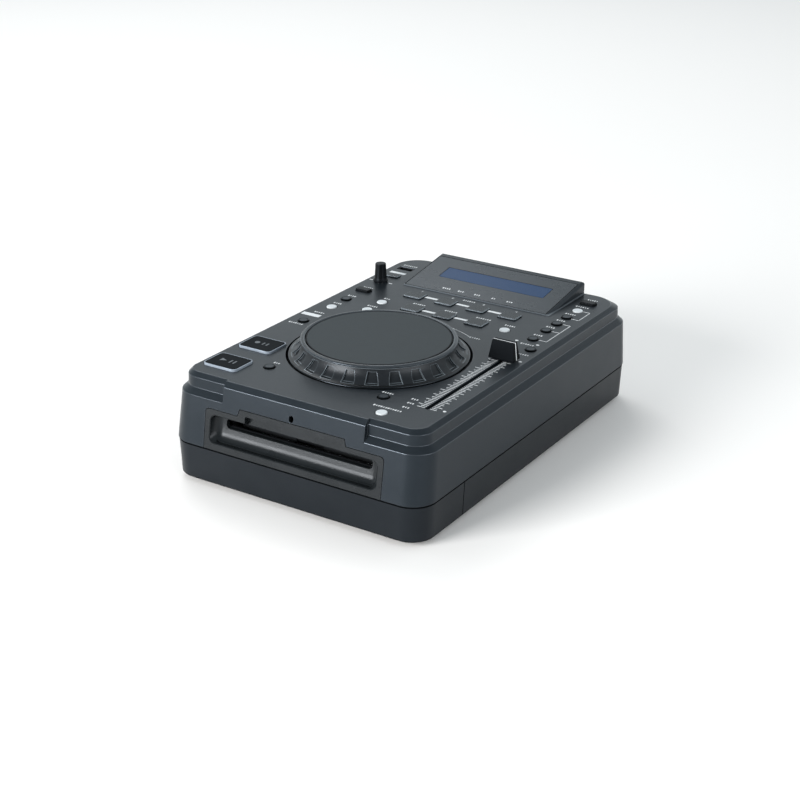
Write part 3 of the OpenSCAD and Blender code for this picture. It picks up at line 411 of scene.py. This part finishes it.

# How far each part's edges are rounded, in millimetres, from what angle on, and their finish where painted
# highlights and painted shade set them off. The other parts keep crisp edges.
EDGES = {
    "upper_shell": (0.28, CORNER, case_edge_highlight), "bottom_tray": (0.3, CORNER, gap_painted_shade),
    "front_lower_cover": (0.3, CORNER, gap_painted_shade), "display_plate": (0.4, CORNER, gap_painted_shade),
    "jog_wheel": (0.32, CORNER, wheel_edge_painted_light), "fader_cap": (0.25, CORNER, None),
    "cue_button": (0.25, CORNER, None), "cue_button_cap": (0.25, CORNER, None),
    "play_button": (0.25, CORNER, None), "play_button_cap": (0.25, CORNER, None),
    "source_button": (0.22, CORNER, None), "power_button": (0.22, CORNER, None),
    "hot_cue_key": (0.22, KEY_CORNER, key_edge), "loop_key": (0.22, KEY_CORNER, key_edge),
    "usb_stop_key": (0.22, KEY_CORNER, key_edge), "round_button": (0.5, KEY_CORNER, gap_painted_shade),
}
CRISP = (0.0, CORNER, None)

SAME_POINT = 0.002          # corners of triangles that are closer than this many millimetres are joined
SAME_PLANE = 0.5            # triangles that meet at less than this many degrees make one flat face
ROUNDED = 32.0              # just over the 30 degrees between the strips of a rounded right angle


def soften(part, width, corner, edge_finish):
    """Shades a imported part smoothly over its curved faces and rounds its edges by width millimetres."""
    if "custom_normal" in part.data.attributes:
        part.data.attributes.remove(part.data.attributes["custom_normal"])
    part.data.shade_smooth()
    weld = part.modifiers.new("weld", "WELD")
    weld.merge_threshold = SAME_POINT * MM
    if width:
        flat = part.modifiers.new("flat", "DECIMATE")
        flat.decimate_type = "DISSOLVE"
        flat.angle_limit = math.radians(SAME_PLANE)
        edge = part.modifiers.new("edge", "BEVEL")
        edge.width = width * MM
        edge.segments = 2
        edge.limit_method = "ANGLE"
        edge.angle_limit = math.radians(corner)
        edge.harden_normals = True
        edge.use_clamp_overlap = False
        if edge_finish:
            part.data.materials.append(edge_finish)
            edge.material = 1
    split = part.modifiers.new("crisp", "EDGE_SPLIT")
    split.split_angle = math.radians(ROUNDED if width else corner)


for name, part in nodes.items():
    row = name.rstrip("_123456789")
    part.data.materials.clear()
    part.data.materials.append(FINISHES[row])
    soften(part, *EDGES.get(row, CRISP))


# ---------------------------------------------------------------- how marks are printed

INK = 0.06                  # real ink is 0.02 mm thick; this is more, so that its face clears the panel's
DOT_SIDES = 20


def piece(name, bm, material, body):
    """Turns a finished bmesh into a piece that rides on a body."""
    mesh = bpy.data.meshes.new(name)
    bmesh.ops.recalc_face_normals(bm, faces=bm.faces)
    bm.to_mesh(mesh)
    bm.free()
    mesh.materials.append(material)
    made = bpy.data.objects.new(name, mesh)
    bpy.context.scene.collection.objects.link(made)
    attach(made, body)


def lift(bm, height):
    """Raises marks that are drawn at height 0 to the surface that they are printed on."""
    bmesh.ops.translate(bm, verts=bm.verts, vec=(0, 0, height * MM))


def to_size(wide, deep, high):
    """The matrix that makes a unit cube a block of that size in millimetres."""
    return Matrix.Diagonal((wide * MM, deep * MM, high * MM, 1.0))


def slab(bm, at, size, turn=0.0):
    """A printed rectangle round the point at, in millimetres, turned to the left by an angle in radians."""
    where = Matrix.Translation(Vector((at[0], at[1], INK / 2)) * MM) @ Matrix.Rotation(turn, 4, "Z")
    bmesh.ops.create_cube(bm, size=1.0, matrix=where @ to_size(size[0], size[1], INK))


def dot(bm, at, radius, stretch=1.0):
    """A printed spot, wider than it is deep where stretch is over 1."""
    where = Matrix.Translation(Vector((at[0], at[1], INK / 2)) * MM)
    bmesh.ops.create_cone(
        bm, cap_ends=True, segments=DOT_SIDES, radius1=radius * MM, radius2=radius * MM, depth=INK * MM,
        matrix=where @ Matrix.Diagonal((stretch, 1.0, 1.0, 1.0)))


def line(bm, start, end, width):
    """A straight printed line between two points."""
    run = Vector(end) - Vector(start)
    middle = (Vector(start) + Vector(end)) / 2
    slab(bm, middle, (run.length + width, width), math.atan2(run.y, run.x))


BLOCK_WIDE, BLOCK_HIGH, BLOCK_GAP = 1.1, 2.1, 0.85      # blocks that stand in for letters
WIDTHS = (1.0, 0.7, 0.85)                               # how three blocks in a row differ
HEIGHTS = (1.0, 0.8, 0.9)


def label(bm, at, width):
    """A plain row of blocks in place of a word."""
    pitch = BLOCK_WIDE + BLOCK_GAP
    count = max(2, round(width / pitch))
    for i in range(count):
        x = at[0] + (i - (count - 1) / 2) * pitch
        slab(bm, (x, at[1]), (BLOCK_WIDE * WIDTHS[i % 3], BLOCK_HIGH * HEIGHTS[i % 3]))


# Strokes of the numbers, on a grid one unit wide and two high
STROKES = {
    "1": [((0.5, 0), (0.5, 2))],
    "2": [((0, 2), (1, 2)), ((1, 2), (1, 1)), ((1, 1), (0, 1)), ((0, 1), (0, 0)), ((0, 0), (1, 0))],
    "3": [((0, 2), (1, 2)), ((1, 2), (1, 0)), ((1, 0), (0, 0)), ((0, 1), (1, 1))],
    "4": [((0, 2), (0, 1)), ((0, 1), (1, 1)), ((1, 2), (1, 0))],
}
NUMBER_UNIT = 1.0           # millimetres
NUMBER_STROKE = 0.42


def number(bm, at, which):
    """A printed number made of straight strokes, round the point at."""
    corner = Vector(at) - Vector((0.5, 1.0)) * NUMBER_UNIT
    for start, end in STROKES[which]:
        line(bm, corner + Vector(start) * NUMBER_UNIT, corner + Vector(end) * NUMBER_UNIT, NUMBER_STROKE)


# ---------------------------------------------------------------- marks on the panel

KEY_BAR = (12.3, 3.0)                           # the white bar between two square keys, wide and deep
HOT_CUE_BAR_BACK, LOOP_BAR_BACK = 2.1, 1.4      # how far behind the keys' middle it is
NUMBER_SHIFTS = (-0.6, -0.7, -1.1, -0.7)        # how far right of each key's middle its number is
NUMBERS_BACK = 12.3                             # and how far behind it


def mark_keys(bm):
    """White bars between the square keys, and the numbers of the upper row."""
    hot_cues = [centre(f"hot_cue_key_{i}") for i in (1, 2, 3, 4)]
    loops = [centre(f"loop_key_{i}") for i in (1, 2, 3)]
    for keys, back in ((hot_cues, HOT_CUE_BAR_BACK), (loops, LOOP_BAR_BACK)):
        for left, right in zip(keys, keys[1:]):
            slab(bm, ((left[0] + right[0]) / 2, left[1] + back), KEY_BAR)
    for which, (x, y), shift in zip(STROKES, hot_cues, NUMBER_SHIFTS):
        number(bm, (x + shift, y + NUMBERS_BACK), which)


# White bars: the control that each belongs to, how far right and back of its middle, and how wide and deep
BARS = (("usb_stop_key", -0.7, 9.6, (15.0, 4.0)), ("round_button_2", -3.1, 14.9, (16.8, 5.2)))

KNOB_TICK = (3.2, 1.1)
KNOB_TICKS = (-9.3, 9.9)                        # how far right of the knob's middle its two ticks are
KNOB_TICKS_BACK = -0.2


def mark_left_column(bm):
    """White bars among the controls on the left, and the two ticks beside the knob."""
    for name, right, back, size in BARS:
        slab(bm, beside(name, right, back), size)
    for right in KNOB_TICKS:
        slab(bm, beside("browse_knob", right, KNOB_TICKS_BACK), KNOB_TICK)


# A bracket ties round caps together: how far right of the first cap its upright is, and how far behind the
# middle of each cap its arm is
BRACKETS = (
    (10.8, (("white_button_5", 0.4), ("round_button_4", -1.0))),
    (11.2, (("round_button_5", 1.4), ("round_button_6", 1.0), ("round_button_7", 0.4))),
)
BRACKET_ARMS_X = 87.4       # where the arms begin, beside the caps
BRACKET_LINE = 0.5


def mark_right_column(bm):
    """The brackets that tie the round caps on the right together."""
    for upright, arms in BRACKETS:
        x = beside(arms[0][0], upright, 0.0)[0]
        rows = [beside(name, 0.0, back)[1] for name, back in arms]
        for y in rows:
            line(bm, (BRACKET_ARMS_X, y), (x, y), BRACKET_LINE)
        line(bm, (x, rows[0]), (x, rows[-1]), BRACKET_LINE)


ARC_RADIUS = 77.0           # millimetres from the wheel's middle
ARC_START = 75.0            # degrees from the right
ARC_STEP = 2.2
ARC_POINTS = 8
ARC_LINE = 0.6


def mark_wheel(bm):
    """A short arc behind the jog wheel."""
    x, y = centre("jog_wheel")
    turns = [math.radians(ARC_START - ARC_STEP * i) for i in range(ARC_POINTS)]
    arc = [(x + ARC_RADIUS * math.cos(turn), y + ARC_RADIUS * math.sin(turn)) for turn in turns]
    for start, end in zip(arc, arc[1:]):
        line(bm, start, end, ARC_LINE)


# Spots near the fader, by how far right and back of its cap they are
SPOTS = ((12.6, 1.9), (12.6, -106.6), (-10.4, 38.9), (7.6, 38.9))
SPOT_RADIUS, SPOT_STRETCH = 1.1, 1.2


def mark_fader(bm):
    """Spots at both ends of the fader's travel, and two behind it."""
    for right, back in SPOTS:
        dot(bm, beside("fader_cap", right, back), SPOT_RADIUS, SPOT_STRETCH)


def print_marks():
    """The white marks on the flat panel."""
    bm = bmesh.new()
    mark_keys(bm)
    mark_left_column(bm)
    mark_right_column(bm)
    mark_wheel(bm)
    mark_fader(bm)
    lift(bm, PANEL_Z)
    piece("panel_marks", bm, ink_white, "case")


# Labels: the control that each belongs to, how far right and back of its middle it is, and how wide
LABELS = (
    ("hot_cue_key_2", 14.1, 12.9, 12), ("loop_key_1", -1.0, 11.7, 12), ("loop_key_2", -0.6, 11.7, 12),
    ("loop_key_3", -0.2, 11.7, 14), ("usb_socket", -0.3, 8.3, 13), ("source_button", -0.6, 7.7, 9),
    ("round_button_1", -0.2, 9.0, 8), ("white_button_1", -0.6, 9.3, 8), ("round_button_2", -0.2, 22.1, 10),
    ("round_button_2", -2.2, -7.3, 14), ("white_button_2", -0.6, 8.8, 6), ("white_button_3", -0.6, 8.8, 9),
    ("white_button_4", -0.5, 10.0, 10), ("power_button", -0.6, 9.5, 10), ("white_button_5", -0.6, 9.6, 12),
    ("round_button_4", -0.7, 8.2, 9), ("round_button_5", -0.7, 8.3, 8), ("round_button_6", -0.7, 8.6, 8),
    ("round_button_7", -0.7, 9.4, 8), ("round_button_8", -7.6, 8.5, 12), ("round_button_8", -0.2, -11.5, 9),
    ("round_button_9", -1.2, 7.6, 9), ("white_button_6", -0.8, 8.6, 23), ("round_button_3", 0.0, 9.1, 5),
    ("fader_cap", -15.4, -100.1, 6), ("fader_cap", -14.4, -107.4, 6), ("fader_cap", -13.4, -115.2, 6),
    ("jog_wheel", 44.4, 65.8, 9),
)


def print_labels():
    """The blocks in place of the panel's words."""
    bm = bmesh.new()
    for name, right, back, width in LABELS:
        label(bm, beside(name, right, back), width)
    lift(bm, PANEL_Z)
    piece("panel_labels", bm, ink_pale, "case")


TICKS = 43
TICK_PITCH = 2.45
TICK_LINE = 0.5
FIRST_TICK = 5.6                        # how far in front of the fader cap's middle the scale starts
TICK_START = 2.4                        # how far from the middle of the slot the ticks begin
TICK_LENGTHS = (7.4, 4.2, 5.6, 4.2)     # of four ticks that follow each other
RIGHT_SHARE = 0.85                      # of their length, for the ticks to the right of the slot


def print_pitch_scale():
    """The scale on both sides of the fader's slot."""
    x, rest = centre("fader_cap")
    bm = bmesh.new()
    for i in range(TICKS):
        y = rest - FIRST_TICK - TICK_PITCH * i
        length = TICK_LENGTHS[i % 4]
        line(bm, (x - TICK_START, y), (x - TICK_START - length, y), TICK_LINE)
        line(bm, (x + TICK_START, y), (x + TICK_START + length * RIGHT_SHARE, y), TICK_LINE)
    lift(bm, PANEL_Z)
    piece("pitch_scale", bm, ink_white, "case")


print_marks()
print_labels()
print_pitch_scale()


# ---------------------------------------------------------------- marks on the hood, big caps and fader

HOOD_LABELS = ((-29.4, 8), (-15.7, 6), (-0.3, 5), (15.0, 4), (29.9, 5))     # place across the hood, and width
HOOD_LABELS_UP = 7.3        # how far up the slope they are
PLATE_SINK = 0.05           # how far the plate, which carries them, is below the hood's slope


def print_hood():
    """Labels on the sloping plate below the display, drawn flat and then turned onto the slope."""
    bm = bmesh.new()
    for x, width in HOOD_LABELS:
        label(bm, (x, HOOD_LABELS_UP), width)
    lift(bm, -PLATE_SINK)
    slope = math.atan(HOOD_RISE / (HOOD_BACK_Y - HOOD_FRONT_Y))
    foot = Matrix.Translation(Vector((0, HOOD_FRONT_Y, PANEL_Z + HOOD_FRONT_HIGH)) * MM)
    bmesh.ops.transform(bm, matrix=foot @ Matrix.Rotation(slope, 4, "X"), verts=bm.verts)
    piece("hood_marks", bm, ink_pale, "case")


STRIPE = 1.3                # width of the two stripes of a pause sign
PLAY_STRIPES, PLAY_HIGH = (2.4, 5.9), 4.8
PLAY_WEDGE = (-6.6, -1.4)   # from the triangle's flat side to its tip
CUE_STRIPES, CUE_HIGH = (1.0, 4.6), 4.2
CUE_SPOT, CUE_SPOT_RADIUS = -4.6, 2.1


def print_play():
    """The sign for play and pause on the play cap: a triangle and two stripes."""
    x, y = centre("play_button_cap")
    back, tip = (x + shift for shift in PLAY_WEDGE)
    half = PLAY_HIGH / 2
    bm = bmesh.new()
    corners = ((back, y - half, 0), (back, y + half, 0), (tip, y, 0))
    face = bm.faces.new([bm.verts.new(Vector(corner) * MM) for corner in corners])
    grown = bmesh.ops.extrude_face_region(bm, geom=[face])["geom"]
    raised = [item for item in grown if isinstance(item, bmesh.types.BMVert)]
    bmesh.ops.translate(bm, verts=raised, vec=(0, 0, INK * MM))
    for shift in PLAY_STRIPES:
        slab(bm, (x + shift, y), (STRIPE, PLAY_HIGH))
    lift(bm, top("play_button_cap"))
    piece("play_symbol", bm, ink_grey, "play")


def print_cue():
    """The sign on the cue cap: a spot and two stripes."""
    x, y = centre("cue_button_cap")
    bm = bmesh.new()
    dot(bm, (x + CUE_SPOT, y), CUE_SPOT_RADIUS)
    for shift in CUE_STRIPES:
        slab(bm, (x + shift, y), (STRIPE, CUE_HIGH))
    lift(bm, top("cue_button_cap"))
    piece("cue_symbol", bm, ink_grey, "cue")


RIDGE_LINE = (18.2, 0.56, 0.5)      # how wide, deep and high the line along the cap's ridge is
RIDGE_SINK = 0.24                   # and how far its middle is below the ridge
END_LINE = (0.16, 0.8)              # thickness and width of the lines down the cap's two ends
END_FOOT_Z = 1.3                    # above the panel
END_FOOT_X, END_HEAD_X = 10.5, 9.0  # from the middle of the cap


def print_fader():
    """White line along the ridge of the fader's cap and down its two leaning ends."""
    x, y = centre("fader_cap")
    crest = top("fader_cap")
    bm = bmesh.new()
    ridge = Matrix.Translation(Vector((x, y, crest - RIDGE_SINK)) * MM)
    bmesh.ops.create_cube(bm, size=1.0, matrix=ridge @ to_size(*RIDGE_LINE))
    for side in (-1, 1):
        foot = Vector((side * END_FOOT_X, 0, PANEL_Z + END_FOOT_Z))
        head = Vector((side * END_HEAD_X, 0, crest))
        run = head - foot
        middle = (foot + head) / 2 + Vector((x, y, 0))
        place = Matrix.Translation(middle * MM) @ Matrix.Rotation(math.atan2(run.x, run.z), 4, "Y")
        bmesh.ops.create_cube(bm, size=1.0, matrix=place @ to_size(*END_LINE, run.length))
    piece("fader_line", bm, ink_white, "fader")


print_hood()
print_play()
print_cue()
print_fader()


# ---------------------------------------------------------------- floor and light

FLOOR_HALF = 6.0                                # metres
FLOOR_PAINT = "#fdfaf8"
SURROUND = (0.89, 0.965, 1.0)                   # linear white with a slight coolness

# How bright the surround is by height, from 0 at the horizon to 1 straight up. The greyer band at 0.4 is what
# the level panel mirrors to a viewer who looks down by 23 degrees, and keeps its sheen low.
SKY = (
    (0.20, 1.0), (0.27, 1.25), (0.33, 1.2), (0.385, 0.52),
    (0.41, 0.52), (0.52, 1.0), (0.70, 1.0), (0.82, 0.4),
)

# It also fades towards the viewer's side, by how far back a direction points, and height counts a little too
FADE_FROM, FADE_TO = -0.5, -0.05
FADE_DARK, FADE_LIGHT = 0.2, 1.06
FADE_LEAN = 0.15

LAMP_COLOUR = (0.99, 1.0, 1.0)
LAMPS_AIM = (0.0, 0.0, 0.05)                    # the middle of the player, in metres

# Each soft lamp: its place in metres, its power in watts, and how wide and high it is in metres
LAMPS = (
    ("front_softbox", (-0.95, -2.35, 0.75), 112.0, 1.34, 1.3),
    ("right_softbox", (2.35, -0.55, 0.6), 25.0, 2.0, 1.1),
    ("back_softbox", (-1.5, 1.3, 2.15), 20.0, 1.4, 1.0),
)


def lay_floor():
    """A plain floor with pale matt paint, which shows the player's soft shadow."""
    mesh = bpy.data.meshes.new("floor")
    bm = bmesh.new()
    bmesh.ops.create_grid(bm, x_segments=1, y_segments=1, size=FLOOR_HALF)
    bm.to_mesh(mesh)
    bm.free()
    floor = bpy.data.objects.new("floor", mesh)
    bpy.context.scene.collection.objects.link(floor)
    material, _, shader = blank("pale_studio_floor")
    shader.inputs["Base Color"].default_value = linear(FLOOR_PAINT)
    shader.inputs["Roughness"].default_value = 0.9
    shader.inputs["Specular IOR Level"].default_value = 0.1
    mesh.materials.append(material)


def surround():
    """White walls all round, with bands by height, and dark where the viewer stands."""
    world = bpy.data.worlds.new("surround")
    bpy.context.scene.world = world
    world.use_nodes = True
    tree = world.node_tree
    back = tree.nodes["Background"]
    way = add(tree, "ShaderNodeTexCoord").outputs["Generated"]
    split = add(tree, "ShaderNodeSeparateXYZ", None, {"Vector": way})
    away = add(tree, "ShaderNodeMath", {"operation": "MULTIPLY_ADD"}, {
        0: split.outputs["Z"], 1: FADE_LEAN, 2: split.outputs["Y"]})
    level = add(tree, "ShaderNodeMapRange", {"interpolation_type": "SMOOTHSTEP"}, {
        "Value": away.outputs[0], "From Min": FADE_FROM, "From Max": FADE_TO,
        "To Min": FADE_DARK, "To Max": FADE_LIGHT})
    band = add(tree, "ShaderNodeValToRGB", None, {"Fac": split.outputs["Z"]})
    stops = band.color_ramp.elements
    stops[0].position, stops[1].position = 0.0, 1.0
    for height, brightness in SKY:
        stops.new(height).color = tuple(brightness * part for part in SURROUND) + (1.0,)
    stops[0].color = stops[1].color
    stops[-1].color = stops[-2].color
    tree.links.new(band.outputs["Color"], back.inputs["Color"])
    tree.links.new(level.outputs["Result"], back.inputs["Strength"])


def hang_lamps():
    """Soft lamps that all point at the player."""
    for name, place, power, wide, high in LAMPS:
        data = bpy.data.lights.new(name, "AREA")
        data.energy = power
        data.color = LAMP_COLOUR
        data.shape = "RECTANGLE"
        data.size = wide
        data.size_y = high
        lamp = bpy.data.objects.new(name, data)
        lamp.location = place
        lamp.rotation_euler = (Vector(LAMPS_AIM) - Vector(place)).to_track_quat("-Z", "Y").to_euler()
        bpy.context.scene.collection.objects.link(lamp)


lay_floor()
surround()
hang_lamps()
bpy.context.scene.view_settings.view_transform = "Standard"
